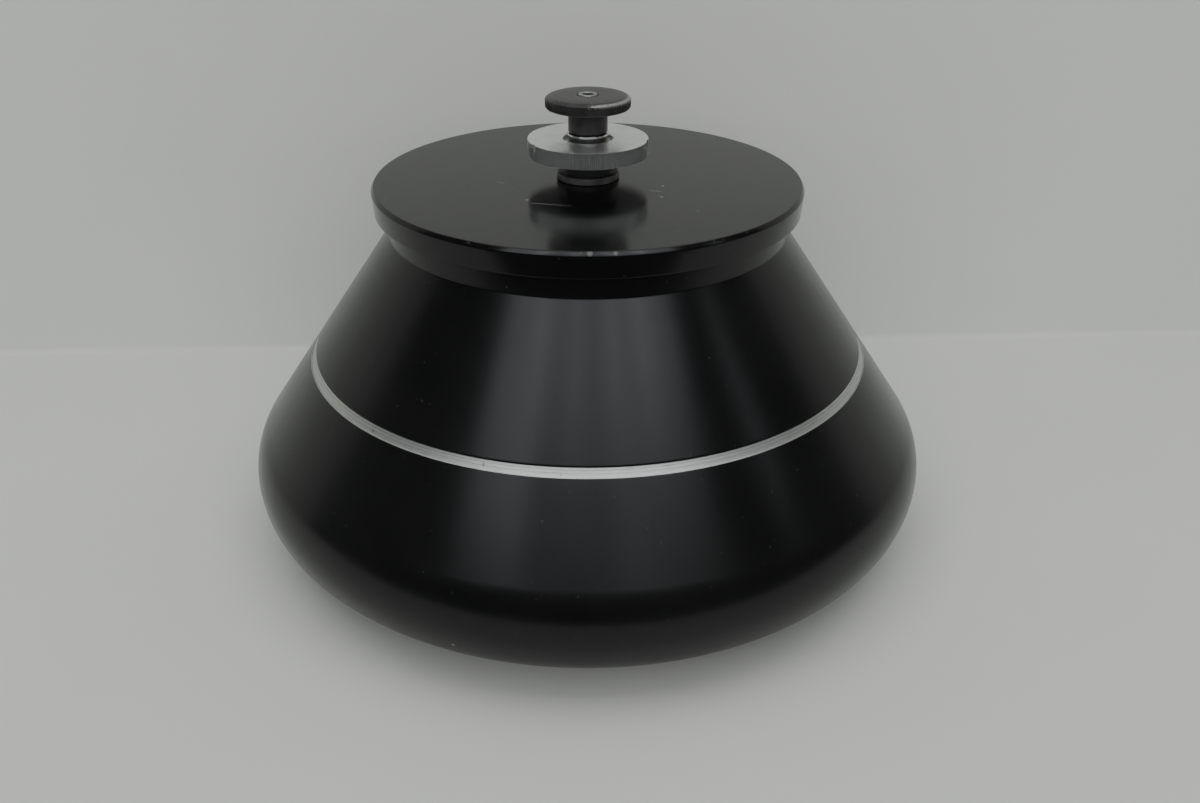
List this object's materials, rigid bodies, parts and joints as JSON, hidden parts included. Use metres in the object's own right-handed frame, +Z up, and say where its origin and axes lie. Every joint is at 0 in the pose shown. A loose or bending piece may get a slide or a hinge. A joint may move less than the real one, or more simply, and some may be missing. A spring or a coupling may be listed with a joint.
{
  "type": "laboratory centrifuge rotor",
  "caption": "Fixed-angle centrifuge rotor with tilted tube cavities under a lift-off lid, held by a knurled lid knob and a captive tie-down knob.",
  "frame": {"origin": "centre of the base, on the spin axis, on the plane the rotor stands on", "axes": "+Z up along the spin axis; the pictured side faces -Y; tube cavity 1 leans out along +X"},
  "size_m": [0.238, 0.238, 0.1537],
  "materials": {
    "black_anodised": "black anodised, satin",
    "black_collar": "black anodised, satin",
    "bare_aluminium": "bare, turned, straight knurl on the rim",
    "turned_steel": "turned stainless steel",
    "dark_steel": "blackened",
    "bright_steel": "bright turned",
    "black_steel": "black oxide",
    "brass": "turned",
    "black_rubber": "matt, greased",
    "speed_disc": "alternate dark and light segments"
  },
  "bodies": {
    "rotor": {"rotor_body": "black_anodised", "threaded_post": "turned_steel", "drive_hub": "turned_steel", "drive_pin_1": "bright_steel", "drive_pin_2": "bright_steel", "hub_screw_1": "black_steel", "hub_screw_2": "black_steel", "hub_screw_3": "black_steel", "hub_screw_4": "black_steel", "speed_ring": "speed_disc"},
    "lid": {"lid": "black_anodised", "lid_collar": "black_collar", "lid_o_ring": "black_rubber"},
    "lid_knob": {"lid_knob": "bare_aluminium", "knob_sleeve": "dark_steel", "sleeve_clip": "bright_steel", "sleeve_o_ring": "black_rubber"},
    "spindle_carrier": {"thrust_bush": "bright_steel", "spindle_clip": "bright_steel"},
    "tie_down": {"tie_down_knob": "black_anodised", "tie_down_spindle": "turned_steel", "spindle_o_ring": "black_rubber", "knob_bush": "brass", "centre_screw": "black_steel"}
  },
  "joints": [
    {"name": "lid_lift", "type": "slide", "parent": "rotor", "child": "lid", "axis": [0, 0, 1], "range_m": [0, 0.13]},
    {"name": "lid_knob_turn", "type": "hinge", "parent": "lid", "child": "lid_knob", "pos_m": [0, 0, 0.126], "axis": [0, 0, 1], "continuous": true},
    {"name": "tie_down_rise", "type": "slide", "parent": "lid", "child": "spindle_carrier", "axis": [0, 0, 1], "range_m": [0, 0.009]},
    {"name": "tie_down_turn", "type": "hinge", "parent": "spindle_carrier", "child": "tie_down", "pos_m": [0, 0, 0.15], "axis": [0, 0, 1], "range_deg": [0, 2160]}
  ],
  "couplings": [
    {"joint": "tie_down_turn", "follows": "tie_down_rise", "rad_per_m": 4188.8}
  ]
}
